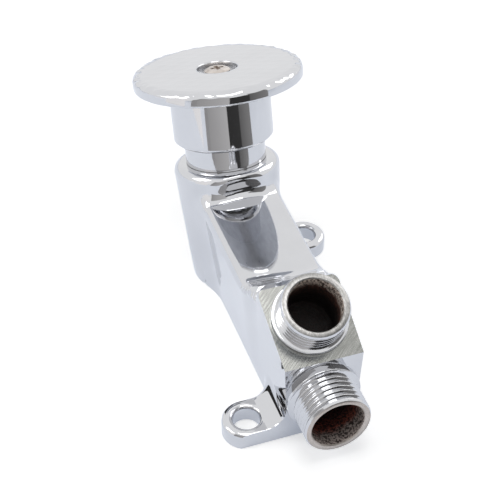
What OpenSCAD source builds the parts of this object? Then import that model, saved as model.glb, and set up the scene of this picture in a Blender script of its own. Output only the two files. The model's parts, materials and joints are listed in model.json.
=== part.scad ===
// Foot pedal tap valve: a floor-mounted casting with a leaning spring-loaded plunger.
// The origin is on the floor face, on the centreline, midway along Y between the two fixing lugs.
// The ports point to -Y, the foot comes from +Y, and the plunger axis leans towards +Y.

/* [Plunger axis] */
// Lean of the plunger axis from upright, towards the foot
lean = 16; // [8:1:22]
// Distance of the axis from the origin where it meets the floor
axis_y = 35.5; // [33:0.5:40]
// Travel of the foot plate along the axis
travel = 6; // [3:0.5:6]

/* [Foot plate] */
// Diameter of the foot plate
plate_d = 56; // [44:1:64]
// Thickness of the foot plate
plate_t = 4.6; // [4:0.1:7]
// Height of the rounded rim of the foot plate
rim_round = 1.4; // [0.6:0.1:1.8]
// Diameter of the screw recess in the plate
recess_d = 13.2; // [11:0.2:18]
// Depth of the screw recess
recess_depth = 2.6; // [2.2:0.1:3]

/* [Push sleeve] */
// Outer diameter of the push sleeve
sleeve_d = 33.5; // [31:0.5:36]
// Wall of the push sleeve
sleeve_wall = 2.6; // [2.2:0.05:3]
// Height of the push sleeve below the plate
sleeve_h = 19.4; // [17:0.2:26]
// Thickness of the web that closes the sleeve at its top
sleeve_web = 3; // [2:0.2:4]
// Chamfer at the lower rim of the sleeve
sleeve_chamfer = 0.8; // [0.2:0.1:1]
// Gap between the sleeve and the boss with the plate up
press_gap = 7.8; // [7.4:0.1:11]
// Height of the plastic slide ring inside the sleeve
slide_ring_h = 2.6; // [1.6:0.2:3]
// Depth of the slide ring's groove in the sleeve wall
slide_groove = 0.9; // [0.5:0.1:1]

/* [Bonnet] */
// Outer diameter of the neck's foot on the gasket
neck_d = 26.9; // [25.5:0.1:27.5]
// How far the neck reaches up into the sleeve
neck_overlap = 4.8; // [4:0.2:6]
// Diameter of the screwed spigot below the neck
spigot_d = 24; // [23.5:0.1:25]
// Diameter of the spring pocket in the neck
pocket_d = 22; // [21.4:0.2:23]
// Thickness of the neck's floor below the spring pocket
pocket_floor = 1.8; // [1.4:0.2:3]
// Outer diameter of the hub that holds the guide bush
hub_d = 15.2; // [14.6:0.1:15.6]
// Height of the hub above the pocket floor
hub_h = 7; // [5:0.5:8]
// Thickness of the gasket under the neck
gasket_t = 0.8; // [0.5:0.1:1.2]

/* [Boss] */
// Height of the boss along the plunger axis
boss_h = 40.4; // [39.4:0.2:44]
// Diameter of the boss at its top
boss_top_d = 36.2; // [33:0.2:40]
// Diameter of the boss where its axis meets the floor
boss_foot_d = 30.5; // [29:0.5:34]
// Radius of the rounded top edge of the boss
boss_round = 3; // [1:0.2:3.6]
// Radius of the blends between the boss and the leg's walls
wall_blend = 24; // [14:1:32]

/* [Leg and port block] */
// Width of the leg at the floor
leg_foot_w = 22; // [21:0.2:25]
// Width of the leg at its top
leg_top_w = 25.2; // [23.6:0.2:28]
// Height of the leg's arched top at the origin
leg_h = 33.4; // [32.5:0.1:36]
// Fall of the leg's top towards the ports
leg_fall = 2.5; // [0:0.5:3.5]
// Radius of the arch across the leg's top
leg_crown = 30; // [24:1:60]
// Radius of the leg's rounded top edges
leg_round = 3.4; // [1:0.2:4]
// Distance from the origin to the front face of the port block
block_front = 44; // [43:0.5:50]
// Height of the front face of the port block
block_front_h = 28.8; // [27.5:0.2:31]
// Length of the slanted face that carries the outlet
block_face = 26; // [25:0.5:28]
// Slope of the slanted face
block_slope = 25; // [20:1:30]
// Slope of the block's back down to the leg
block_back_slope = 52; // [40:1:65]

/* [Ports] */
// Outer diameter of the pipe threads
thread_d = 20.95; // [19:0.05:21.5]
// Bore of the two ports
port_bore = 16.5; // [14:0.5:17]
// Diameter of the plain shoulder behind each thread
shoulder_d = 23.4; // [22:0.2:23.8]
// Height of the plain shoulder
shoulder_h = 1.4; // [0.8:0.2:2]
// Width of the run-out groove between the thread and the shoulder
relief_w = 0.8; // [0.4:0.1:1.2]
// Depth of the run-out groove
relief_depth = 0.7; // [0.3:0.1:0.9]
// Chamfer at the mouth of each thread
port_chamfer = 0.9; // [0.4:0.1:1.2]
// Height of the outlet port above the slanted face
outlet_h = 10.2; // [9:0.2:16]
// Distance of the outlet's axis from the lower edge of the slanted face
outlet_up = 14.1; // [13:0.1:14.5]
// Depth of the wide outlet bore from its mouth
outlet_depth = 18; // [17:0.5:19]
// Length of the inlet port ahead of the front face
inlet_l = 12.6; // [11:0.2:18]
// Height of the inlet's axis above the floor
inlet_z = 14.7; // [13.5:0.1:15]
// Depth of the wide inlet bore from its mouth
inlet_depth = 18.6; // [15:0.2:19]

/* [Lugs] */
// Distance of each lug hole from the origin along Y
lug_y = 37.4; // [36.5:0.1:38.5]
// Distance of the front lug hole from the centreline
front_lug_x = 21.7; // [20.5:0.1:25]
// Distance of the rear lug hole from the centreline
rear_lug_x = 25.5; // [25:0.1:29]
// Diameter of the lug holes
lug_hole_d = 8.4; // [6:0.2:9]
// Outer radius of the lugs
lug_r = 7.6; // [7:0.1:8]
// Thickness of the lugs
lug_t = 5.7; // [4:0.1:7]
// Radius of the fillets where the lugs meet the body
lug_fillet = 4; // [2:0.5:5]

/* [Water ways] */
// Height of the chamber floor along the plunger axis
chamber_s = 6; // [6:0.1:7]
// Depth of the chamber below the seat ring
chamber_h = 11; // [10.9:0.1:12]
// Diameter of the chamber below the seat ring
chamber_d = 18; // [17.8:0.2:19]
// Diameter of the bore that holds the seat ring and cage
cage_bore = 22; // [21.4:0.2:22.6]
// Diameter of the gallery around the cage
gallery_d = 24.8; // [23.4:0.2:26]
// Height of the gallery
gallery_h = 6.4; // [4:0.2:7]
// Diameter of the inlet passage in the leg
inlet_way_d = 11; // [8:0.5:11.5]
// Height of the inlet passage above the floor
inlet_way_z = 13; // [12.5:0.1:13.2]
// Width of the outlet passage in the leg
outlet_way_w = 16; // [12:0.5:17]
// Height of the outlet passage
outlet_way_h = 6; // [4:0.2:6.4]
// Height of the middle of the outlet passage above the floor
outlet_way_z = 26; // [25.6:0.1:26.4]

/* [Seat and cage] */
// Thickness of the seat ring
seat_t = 4; // [3.6:0.1:4.4]
// Bore of the seat ring
seat_bore = 13; // [12:0.2:13.4]
// Height of the raised lip that seals
seat_lip_h = 0.5; // [0.3:0.1:0.7]
// Width of the raised lip
seat_lip_w = 0.8; // [0.6:0.1:0.9]
// Section of the O-ring round the seat ring
seat_oring_d = 1.7; // [1.3:0.1:1.8]
// Height of the cage above the seat ring
cage_h = 10; // [9.6:0.1:10.4]
// Wall of the cage
cage_wall = 2; // [1.4:0.1:2.2]
// Diameter of the cage windows
window_d = 6.8; // [4:0.2:7.6]

/* [Stem and seals] */
// Diameter of the stem
stem_d = 9; // [8.4:0.1:9.2]
// Diameter of the stem's upper and lower spigots
stem_spigot_d = 6.8; // [6.2:0.1:7]
// Diameter of the holes for the two screws in the stem
screw_d = 4.8; // [4:0.1:5]
// Section of the stem O-rings
stem_oring_d = 2.4; // [2:0.1:2.4]
// Thickness of the spacer between the stem O-rings
spacer_t = 0.8; // [0.6:0.1:1]
// Thickness of the gland washer under the bonnet
gland_t = 1.4; // [1:0.1:1.6]
// Wall of the guide bush
bush_wall = 1.3; // [1:0.1:1.4]
// Thickness of the bush's flange
bush_flange_t = 1.2; // [0.8:0.1:1.6]

/* [Valve disc] */
// Diameter of the rubber valve washer
washer_d = 15.8; // [15:0.1:16]
// Thickness of the rubber valve washer
washer_t = 2.4; // [2:0.1:2.4]
// Diameter of the holder that carries the washer
holder_d = 17; // [16.8:0.1:17.4]
// Thickness of the holder's floor
holder_floor = 1.6; // [1.4:0.1:1.6]
// Height of the holder's rim above its floor
holder_rim = 1.4; // [0.8:0.1:1.6]

/* [Return spring] */
// Wire diameter of the return spring
wire_d = 1.8; // [1.2:0.1:1.9]
// Mean diameter of the spring's turns
spring_d = 18.6; // [18.2:0.1:19]
// Number of turns
spring_turns = 5.5; // [4:0.5:6]
// Thickness of the washer below and the cap above the spring
spring_seat_t = 0.9; // [0.6:0.1:1.2]

/* [Screws] */
// Diameter of the foot plate screw's head
plate_screw_head_d = 8.6; // [7:0.2:10]
// Height of the foot plate screw's head
plate_screw_head_h = 1.7; // [1.2:0.1:1.8]
// Length of the foot plate screw below its head
plate_screw_l = 13; // [9:0.5:16]
// Diameter of the lock washer under that head
lock_washer_d = 9.8; // [9:0.1:10.6]
// Thickness of the lock washer
lock_washer_t = 0.6; // [0.4:0.1:0.8]
// Head diameter of the countersunk valve disc screw
disc_screw_head_d = 7.2; // [6:0.1:7.4]
// Length of the valve disc screw
disc_screw_l = 8; // [6:0.5:10]

/* [Fits] */
// Radial clearance of running fits and of turned pieces in their bores
fit = 0.05; // [0.03:0.01:0.08]
// Radial clearance of the bores that the stem passes without touching
stem_clear = 0.3; // [0.3:0.05:0.4]
// Radial clearance of the loose washers, the gasket and the spring's cap
loose = 0.2; // [0.1:0.05:0.3]
// Radial gap between the neck and the sleeve's bore
slide_gap = 0.6; // [0.5:0.05:0.8]

/* [Hidden] */
$fn = 72;
far = 200;
lap = 0.5;
// Wall below the slide ring's groove
groove_land = 0.6;
// Thickness of the shelf between the stem seals and the guide bush
bush_shelf = 1.2;
// How far the bush's flange stays inside the hub's edge
flange_inset = 0.3;
// How far the leg's walls lie inside those of the port block
wall_step = 0.2;
// How far the round of a blend cuts into the faces it joins
blend_bite = 0.06;
// How far the stem ends below the floor of the plate's recess
stem_short = 0.4;
// Shares of the plate screw's head: height of its rim, width of its flat top, depth and width of its cross
head_rim_share = 0.6;
head_top_share = 0.7;
cross_depth_share = 0.6;
cross_w_share = 0.15;

// Heights along the plunger axis, counted from the floor point of the axis
ledge_s = chamber_s + chamber_h;
seal_s = ledge_s - seat_lip_h;
cage_s = ledge_s + seat_t;
gland_s = cage_s + cage_h;
spigot_s = gland_s + gland_t;
neck_s = boss_h + gasket_t;
pocket_s = neck_s + pocket_floor;
hub_s = pocket_s + hub_h;
sleeve_s = boss_h + press_gap;
neck_top_s = sleeve_s + neck_overlap;
plate_s = sleeve_s + sleeve_h;
plate_top_s = plate_s + plate_t;
recess_s = plate_top_s - recess_depth;
web_s = plate_s - sleeve_web;
cap_s = web_s - spring_seat_t;
spring_foot_s = pocket_s + spring_seat_t;
holder_s = seal_s - washer_t - holder_floor;
slide_ring_s = sleeve_s + sleeve_chamfer + groove_land;

// Stem seals hang from the top of their gland
gland_bore = stem_d + 2 * fit + 2 * stem_oring_d + 2 * fit;
gland_top_s = spigot_s + 2 * stem_oring_d + spacer_t;
upper_oring_s = gland_top_s - stem_oring_d / 2;
spacer_s = gland_top_s - stem_oring_d - spacer_t;
lower_oring_s = spacer_s - stem_oring_d / 2;
bush_d = stem_d + 2 * fit + 2 * bush_wall;
bush_foot_s = gland_top_s + bush_shelf;

// The neck runs in the sleeve over the whole travel, from just above its foot
sleeve_bore = sleeve_d - 2 * sleeve_wall;
slide_d = sleeve_bore - 2 * slide_gap;
slide_s = max(neck_s, sleeve_s - travel - lap);
screw_hole_d = stem_spigot_d + 2 * fit;
stem_hole_d = stem_d + 2 * stem_clear;

// The slanted face of the port block, in the plane x = 0, as [y, z]
face_low = [-block_front, block_front_h];
face_high = face_low + block_face * [cos(block_slope), sin(block_slope)];
face_normal = [-sin(block_slope), cos(block_slope)];
outlet_foot = face_low + outlet_up * [cos(block_slope), sin(block_slope)];
outlet_mouth = outlet_foot + outlet_h * face_normal;
inlet_mouth = [-block_front - inlet_l, inlet_z];

// Half-width of the drafted walls at a height above the floor
draft = (leg_top_w - leg_foot_w) / 2 / leg_h;
function wall_half(z) = leg_foot_w / 2 + draft * z;

// The leg's rounded top edges: their middle, as [x, z], lies inside both the arch and the wall
arch_z = leg_h - leg_crown;
edge_reach = leg_crown - leg_round;
edge_shift = wall_half(arch_z) - wall_step - leg_round * sqrt(1 + draft * draft);
edge_rise = (sqrt(edge_reach * edge_reach * (1 + draft * draft) - edge_shift * edge_shift)
             - edge_shift * draft) / (1 + draft * draft);
edge_middle = [edge_shift + draft * edge_rise, arch_z + edge_rise];

// A child drawn upright about Z is set on the leaning plunger axis
module on_axis() {
    translate([0, axis_y, 0]) rotate([-lean, 0, 0]) children();
}

// A turned ring between two heights of the plunger axis
module ring(outer_d, inner_d, foot_s, top_s) {
    on_axis() translate([0, 0, foot_s]) difference() {
        cylinder(d = outer_d, h = top_s - foot_s);
        translate([0, 0, -lap]) cylinder(d = inner_d, h = top_s - foot_s + 2 * lap);
    }
}

// An O-ring whose section centre lies at a height of the plunger axis
module oring(inner_d, section_d, middle_s) {
    on_axis() translate([0, 0, middle_s]) rotate_extrude()
        translate([inner_d / 2 + section_d / 2, 0]) circle(d = section_d, $fn = 32);
}

// Everything above the floor
module above_floor() {
    intersection() {
        children();
        translate([-far / 2, -far / 2, 0]) cube([far, far, far]);
    }
}

// Half of the boss outline: a taper with a rounded top edge
module boss_profile() {
    top_r = boss_top_d / 2;
    foot_r = boss_foot_d / 2;
    deep = boss_foot_d / 2;
    slope = (top_r - foot_r) / boss_h;
    difference() {
        polygon([[0, -deep], [foot_r - slope * deep, -deep], [top_r, boss_h], [0, boss_h]]);
        translate([top_r - boss_round, boss_h - boss_round]) square(2 * boss_round);
    }
    translate([top_r - boss_round - slope * boss_round, boss_h - boss_round]) circle(r = boss_round);
}

// Cross-section of the leg: drafted walls, an arched top and two rounded edges
module leg_profile() {
    mirrored = [-edge_middle[0], edge_middle[1]];
    foot_half = wall_half(-leg_h) - wall_step;
    on_wall = edge_middle + leg_round / sqrt(1 + draft * draft) * [1, -draft];
    arch_middle = [0, arch_z];
    polygon([[-foot_half, -leg_h], [foot_half, -leg_h],
             on_wall, edge_middle, mirrored, [-on_wall[0], on_wall[1]]]);
    for (middle = [edge_middle, mirrored]) translate(middle) circle(r = leg_round);
    intersection() {
        translate(arch_middle) circle(r = leg_crown);
        polygon([arch_middle, 2 * edge_middle - arch_middle, 2 * mirrored - arch_middle]);
    }
}

// The leg runs from under the boss to the middle of the port block, its top falling towards the ports
module leg() {
    back = axis_y + leg_h * tan(lean);
    rotate([leg_fall, 0, 0]) translate([0, back, 0]) rotate([90, 0, 0])
        linear_extrude(height = back - outlet_foot[0]) leg_profile();
}

// Radius of the boss at a height of the plunger axis
function boss_r(s) = (boss_foot_d + (boss_top_d - boss_foot_d) * s / boss_h) / 2;

// Middle of the blend between the boss and a wall at a height of the plunger axis, side 1 towards +X
function blend_middle(side, s) = let (
        x = wall_half(s * cos(lean) + boss_r(s) * sin(lean)) - wall_step + wall_blend,
        reach = boss_r(s) + wall_blend)
    [side * x, -sqrt(reach * reach - x * x), s];

// A web that blends the boss into a wall of the leg, hollowed by a cylinder that follows both drafts
module wall_web(side) {
    low = blend_middle(side, 0);
    along = blend_middle(side, boss_h) - low;
    corner = low + along / 2;
    deep = boss_foot_d / 2;
    on_axis() difference() {
        translate([0, 0, -deep]) linear_extrude(height = deep + boss_h)
            polygon([[0, 0], [corner[0], corner[1]], [0, corner[1]]]);
        translate(low) rotate([0, acos(along[2] / norm(along)), atan2(along[1], along[0])])
            cylinder(r = wall_blend + blend_bite, h = 4 * boss_h, center = true);
    }
}

// Everything below the rounded top edges of the leg
module below_leg_edges() {
    intersection() {
        children();
        rotate([leg_fall, 0, 0]) translate([-far / 2, -far / 2, -far])
            cube([far, far, far + edge_middle[1]]);
    }
}

// Side outline of the port block, as [y, z], with its back sloping down into the leg
module block_profile() {
    back_run = (face_high[1] - leg_h / 2) / tan(block_back_slope);
    polygon([[-block_front, 0], face_low, face_high, [face_high[0] + back_run, leg_h / 2],
             [face_high[0] + back_run, 0]]);
}

// The port block has the leg's drafted walls
module port_block() {
    intersection() {
        rotate([90, 0, 90]) translate([0, 0, -far / 2]) linear_extrude(height = far) block_profile();
        translate([0, far / 2, 0]) rotate([90, 0, 0]) linear_extrude(height = far)
            polygon([[-wall_half(0), 0], [wall_half(0), 0],
                     [wall_half(2 * leg_h), 2 * leg_h], [-wall_half(2 * leg_h), 2 * leg_h]]);
    }
}

// A child drawn upright about Z is set on the outlet's axis, Z pointing out of the mouth
module on_outlet() {
    translate([0, outlet_mouth[0], outlet_mouth[1]]) rotate([block_slope, 0, 0]) children();
}

// A child drawn upright about Z is set on the inlet's axis, Z pointing out of the mouth
module on_inlet() {
    translate([0, inlet_mouth[0], inlet_mouth[1]]) rotate([90, 0, 0]) children();
}

// A port below its mouth: shoulder, run-out groove, thread blank and chamfered end
module port(length) {
    blank_s = shoulder_h + relief_w - length;
    translate([0, 0, -length - lap]) cylinder(d = shoulder_d, h = shoulder_h + lap);
    translate([0, 0, -length]) cylinder(d = thread_d - 2 * relief_depth, h = length - port_chamfer);
    translate([0, 0, blank_s]) cylinder(d = thread_d, h = -port_chamfer - blank_s);
    translate([0, 0, -port_chamfer])
        cylinder(d1 = thread_d, d2 = thread_d - 2 * port_chamfer, h = port_chamfer);
}

// Half-width of the boss's foot on the floor at a distance along Y
function boss_half(y) =
    boss_foot_d / 2 * sqrt(max(0, 1 - pow((y - axis_y) * cos(lean) / (boss_foot_d / 2), 2)));

// One fillet between the side of a lug and a wall, edge 1 on its +Y side
module lug_corner(side, wall_x, edge) {
    difference() {
        translate([side * (wall_x + lug_fillet) / 2, edge * (lug_r + lug_fillet / 2)])
            square([wall_x + lug_fillet, lug_fillet], center = true);
        translate([side * (wall_x + lug_fillet), edge * (lug_r + lug_fillet)]) circle(r = lug_fillet);
    }
}

// Plan of a fixing lug that reaches from its hole to the centreline, side 1 towards +X
module lug_plan(side, hole_x) {
    translate([side * hole_x, 0]) circle(r = lug_r);
    translate([side * hole_x / 2, 0]) square([hole_x, 2 * lug_r], center = true);
}

// The front lug has one fillet in plan, to the leg
module front_lug_plan() {
    translate([0, -lug_y]) {
        lug_plan(-1, front_lug_x);
        lug_corner(-1, leg_foot_w / 2, 1);
    }
}

// The front lug with the fillet that joins its top to the wall of the block
module front_lug() {
    fillet_z = lug_t + lug_fillet;
    fillet_x = wall_half(fillet_z) + lug_fillet;
    linear_extrude(height = lug_t) front_lug_plan();
    intersection() {
        linear_extrude(height = fillet_z) front_lug_plan();
        rotate([90, 0, 0]) linear_extrude(height = block_front) difference() {
            translate([-fillet_x, lug_t - lap]) square([fillet_x, lug_fillet + lap]);
            translate([-fillet_x, fillet_z]) circle(r = lug_fillet + blend_bite);
        }
    }
}

// The rear lug has a fillet in plan on each side, to the boss
module rear_lug() {
    translate([0, lug_y, 0]) linear_extrude(height = lug_t) {
        lug_plan(1, rear_lug_x);
        for (edge = [-1, 1]) lug_corner(1, boss_half(lug_y + edge * (lug_r + lug_fillet)), edge);
    }
}

// The solid casting before its bores
module casting() {
    above_floor() {
        union() {
            on_axis() rotate_extrude() boss_profile();
            leg();
            port_block();
            below_leg_edges() for (side = [-1, 1]) wall_web(side);
        }
    }
    on_outlet() port(outlet_h);
    on_inlet() port(inlet_l);
    front_lug();
    rear_lug();
}

// Bores along the plunger axis, from the chamber floor to the top of the boss
module plunger_bores() {
    on_axis() {
        translate([0, 0, chamber_s]) cylinder(d = chamber_d, h = boss_h);
        translate([0, 0, ledge_s]) cylinder(d = cage_bore, h = boss_h);
        translate([0, 0, gland_s]) cylinder(d = spigot_d + 2 * fit, h = boss_h);
        translate([0, 0, cage_s + (cage_h - gallery_h) / 2]) cylinder(d = gallery_d, h = gallery_h);
    }
}

// The cored water ways between the ports and the chambers
module water_ways() {
    on_outlet() translate([0, 0, -outlet_depth]) cylinder(d = port_bore, h = outlet_depth + lap);
    on_inlet() translate([0, 0, -inlet_depth]) cylinder(d = port_bore, h = inlet_depth + lap);
    way_end = axis_y + inlet_way_z * tan(lean);
    translate([0, way_end, inlet_way_z]) rotate([90, 0, 0])
        cylinder(d = inlet_way_d, h = way_end - inlet_mouth[0] - inlet_depth + lap);
    outlet_end = outlet_mouth[0] + outlet_depth * sin(block_slope);
    outlet_start = axis_y + outlet_way_z * tan(lean) - cage_bore / 2;
    translate([0, outlet_start, outlet_way_z]) rotate([90, 0, 0])
        linear_extrude(height = outlet_start - outlet_end) {
            square([outlet_way_w - outlet_way_h, outlet_way_h], center = true);
            for (side = [-1, 1])
                translate([side * (outlet_way_w - outlet_way_h) / 2, 0]) circle(d = outlet_way_h);
        }
}

// Fixing holes of the two lugs
module lug_holes() {
    for (hole = [[-front_lug_x, -lug_y], [rear_lug_x, lug_y]])
        translate([hole[0], hole[1], -lap]) cylinder(d = lug_hole_d, h = lug_t + 2 * lap);
}

module body() {
    color("gainsboro") difference() {
        casting();
        plunger_bores();
        water_ways();
        lug_holes();
    }
}

// The bonnet screws into the boss; its neck guides the sleeve and holds the spring and the stem seals
module bonnet() {
    color("silver") on_axis() difference() {
        union() {
            translate([0, 0, spigot_s]) cylinder(d = spigot_d, h = neck_s - spigot_s + lap);
            translate([0, 0, neck_s]) cylinder(d = neck_d, h = slide_s - neck_s + lap);
            translate([0, 0, slide_s]) cylinder(d = slide_d, h = neck_top_s - slide_s);
        }
        translate([0, 0, pocket_s]) difference() {
            cylinder(d = pocket_d, h = far);
            translate([0, 0, -lap]) cylinder(d = hub_d, h = hub_h + lap);
        }
        translate([0, 0, spigot_s - lap]) cylinder(d = gland_bore, h = gland_top_s - spigot_s + lap);
        cylinder(d = stem_hole_d, h = far);
        translate([0, 0, bush_foot_s]) cylinder(d = bush_d + 2 * fit, h = far);
    }
}

module bonnet_gasket() {
    color("ivory") ring(neck_d - 2 * loose, spigot_d + 2 * loose, boss_h, neck_s);
}

// Clamped between cage and bonnet, it keeps the stem seals in
module gland_washer() {
    color("goldenrod") ring(cage_bore - 2 * fit, stem_hole_d, gland_s, spigot_s);
}

module stem_orings() {
    color("black") for (middle_s = [lower_oring_s, upper_oring_s])
        oring(stem_d + 2 * fit, stem_oring_d, middle_s);
}

module seal_spacer() {
    color("white") ring(gland_bore - 2 * fit, stem_hole_d, spacer_s, spacer_s + spacer_t);
}

module guide_bush() {
    color("ivory") {
        ring(bush_d, stem_d + 2 * fit, bush_foot_s, hub_s + lap);
        ring(hub_d - 2 * flange_inset, stem_d + 2 * fit, hub_s, hub_s + bush_flange_t);
    }
}

// Windowed spacer that carries the water from the seat to the gallery
module valve_cage() {
    color("goldenrod") difference() {
        ring(cage_bore - 2 * fit, cage_bore - 2 * cage_wall, cage_s, gland_s);
        on_axis() translate([0, 0, (cage_s + gland_s) / 2]) for (turn = [0, 90])
            rotate([90, 0, turn]) cylinder(d = window_d, h = far, center = true);
    }
}

// Depth of the O-ring groove round the seat ring, and its middle height
seat_groove = seat_oring_d + fit;
seat_groove_s = ledge_s + seat_t / 2;

module seat_ring() {
    color("goldenrod") difference() {
        union() {
            ring(cage_bore - 2 * fit, seat_bore, ledge_s, cage_s);
            ring(seat_bore + 2 * seat_lip_w, seat_bore, seal_s, ledge_s + lap);
        }
        ring(cage_bore + 2 * lap, cage_bore - 2 * seat_groove, seat_groove_s - seat_groove / 2,
             seat_groove_s + seat_groove / 2);
    }
}

module seat_oring() {
    color("black") oring(cage_bore - 2 * seat_groove + fit, seat_oring_d, seat_groove_s);
}

module spring_washer() {
    color("silver") ring(pocket_d - 2 * loose, hub_d + 2 * loose, pocket_s, spring_foot_s);
}

// Height of the spring's wire centre at a share of its length: flat ends, steady climb between
spring_flat = 0.4;
spring_low = spring_foot_s + wire_d / 2 + fit;
spring_high = cap_s - wire_d / 2 - fit;
spring_climb = (spring_high - spring_low) / (spring_turns - 2 * spring_flat);
function wire_s(turn) =
    spring_low + spring_climb * (min(max(turn, spring_flat), spring_turns - spring_flat) - spring_flat);
function wire_point(turn) =
    [spring_d / 2 * cos(360 * turn), spring_d / 2 * sin(360 * turn), wire_s(turn)];

// The path of the wire: a straight end, eight rings a turn, and a straight end
rings_per_turn = 8;
wire_steps = spring_turns * rings_per_turn;
function wire_tangent(turn) = [-sin(360 * turn), cos(360 * turn), 0];
wire_path = concat(
    [wire_point(0) - wire_d * wire_tangent(0)],
    [for (i = [0 : wire_steps]) wire_point(i / rings_per_turn)],
    [wire_point(spring_turns) + wire_d * wire_tangent(spring_turns)]);

// One six-sided ring of the wire, square to the path at point i
wire_sides = 6;
last_ring = len(wire_path) - 1;
function unit(v) = v / norm(v);
function wire_ring(i) = let (
        ahead = unit(wire_path[min(i + 1, last_ring)] - wire_path[max(i - 1, 0)]),
        across = unit(cross(ahead, [0, 0, 1])),
        upward = cross(across, ahead))
    [for (k = [0 : wire_sides - 1]) let (angle = 360 * k / wire_sides)
        wire_path[i] + wire_d / 2 * (cos(angle) * across + sin(angle) * upward)];

// Least gap between neighbouring turns, measured on the points of the path
spring_gap = min([for (i = [0 : last_ring], k = [0 : last_ring])
    if (k - i > rings_per_turn / 2) norm(wire_path[k] - wire_path[i])]) - wire_d;
echo(spring_gap = spring_gap);

module return_spring() {
    points = [for (i = [0 : last_ring]) each wire_ring(i)];
    sides = [for (i = [0 : last_ring - 1], k = [0 : wire_sides - 1])
        let (a = i * wire_sides + k, b = i * wire_sides + (k + 1) % wire_sides)
        each [[a, b, b + wire_sides], [a, b + wire_sides, a + wire_sides]]];
    foot = [for (k = [1 : wire_sides - 2]) [0, k + 1, k]];
    first = last_ring * wire_sides;
    head = [for (k = [1 : wire_sides - 2]) [first, first + k, first + k + 1]];
    color("lightsteelblue") on_axis() polyhedron(points = points, faces = concat(sides, foot, head));
}

// Round plate with a rounded rim, a screw recess and a hole on the stem's spigot
module foot_plate() {
    color("gainsboro") on_axis() difference() {
        translate([0, 0, plate_s]) rotate_extrude() {
            square([plate_d / 2 - rim_round, plate_t]);
            translate([0, rim_round]) square([plate_d / 2, plate_t - 2 * rim_round]);
            for (rim_s = [rim_round, plate_t - rim_round])
                translate([plate_d / 2 - rim_round, rim_s]) circle(r = rim_round);
        }
        translate([0, 0, recess_s]) cylinder(d = recess_d, h = far);
        translate([0, 0, plate_s - lap]) cylinder(d = screw_hole_d, h = far);
    }
}

// Skirt under the plate that slides over the neck
module push_sleeve() {
    groove_d = sleeve_bore + 2 * slide_groove;
    color("gainsboro") on_axis() difference() {
        union() {
            translate([0, 0, sleeve_s + sleeve_chamfer])
                cylinder(d = sleeve_d, h = sleeve_h - sleeve_chamfer);
            translate([0, 0, sleeve_s])
                cylinder(d1 = sleeve_d - 2 * sleeve_chamfer, d2 = sleeve_d, h = sleeve_chamfer);
        }
        translate([0, 0, sleeve_s - lap]) cylinder(d = sleeve_bore, h = web_s - sleeve_s + lap);
        translate([0, 0, slide_ring_s - fit]) cylinder(d = groove_d, h = slide_ring_h + 2 * fit);
        cylinder(d = screw_hole_d, h = far);
    }
}

module slide_ring() {
    color("ivory") ring(sleeve_bore + 2 * slide_groove - 2 * fit, slide_d + 2 * fit,
                        slide_ring_s, slide_ring_s + slide_ring_h);
}

module spring_cap() {
    color("silver") ring(pocket_d - 2 * loose, screw_hole_d, cap_s, web_s);
}

// Turned stem with a spigot at each end, drilled for the two screws
module stem() {
    top_s = recess_s - stem_short;
    color("goldenrod") on_axis() difference() {
        union() {
            translate([0, 0, seal_s]) cylinder(d = stem_d, h = cap_s - seal_s);
            translate([0, 0, cap_s - lap]) cylinder(d = stem_spigot_d, h = top_s - cap_s + lap);
            translate([0, 0, holder_s + holder_floor])
                cylinder(d = stem_spigot_d, h = washer_t + lap);
        }
        translate([0, 0, top_s - plate_screw_l]) cylinder(d = screw_d + 2 * fit, h = far);
        translate([0, 0, holder_s]) cylinder(d = screw_d + 2 * fit, h = disc_screw_l + 2 * lap);
    }
}

// Pan-head screw with a cross recess
module plate_screw() {
    head_s = recess_s + lock_washer_t;
    rim_h = plate_screw_head_h * head_rim_share;
    cross_w = plate_screw_head_d * cross_w_share;
    cross_h = plate_screw_head_h * cross_depth_share;
    color("goldenrod") on_axis() difference() {
        union() {
            translate([0, 0, head_s]) cylinder(d = plate_screw_head_d, h = rim_h);
            translate([0, 0, head_s + rim_h])
                cylinder(d1 = plate_screw_head_d, d2 = plate_screw_head_d * head_top_share,
                         h = plate_screw_head_h - rim_h);
            translate([0, 0, head_s - plate_screw_l]) cylinder(d = screw_d, h = plate_screw_l + lap);
        }
        for (turn = [0, 90]) rotate([0, 0, turn])
            translate([-plate_screw_head_d / 4, -cross_w / 2, head_s + plate_screw_head_h - cross_h])
                cube([plate_screw_head_d / 2, cross_w, far]);
    }
}

module lock_washer() {
    color("silver") ring(lock_washer_d, screw_d + 2 * loose, recess_s, recess_s + lock_washer_t);
}

module valve_washer() {
    color("black") ring(washer_d, screw_hole_d, holder_s + holder_floor, seal_s);
}

// Dished holder round the rubber washer, countersunk below for its screw
module washer_holder() {
    color("goldenrod") difference() {
        ring(holder_d, screw_d + 2 * fit, holder_s, holder_s + holder_floor + holder_rim);
        on_axis() {
            translate([0, 0, holder_s + holder_floor]) cylinder(d = washer_d + 2 * fit, h = far);
            translate([0, 0, holder_s - lap])
                cylinder(d1 = disc_screw_head_d + 2 * lap + 2 * fit, d2 = screw_d + 2 * fit,
                         h = (disc_screw_head_d - screw_d) / 2 + lap);
        }
    }
}

module disc_screw() {
    color("silver") on_axis() {
        translate([0, 0, holder_s])
            cylinder(d1 = disc_screw_head_d, d2 = screw_d, h = (disc_screw_head_d - screw_d) / 2);
        translate([0, 0, holder_s]) cylinder(d = screw_d, h = disc_screw_l);
    }
}

body();
bonnet();
bonnet_gasket();
gland_washer();
stem_orings();
seal_spacer();
guide_bush();
valve_cage();
seat_ring();
seat_oring();
spring_washer();
return_spring();
foot_plate();
push_sleeve();
slide_ring();
spring_cap();
stem();
plate_screw();
lock_washer();
valve_washer();
washer_holder();
disc_screw();
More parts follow.
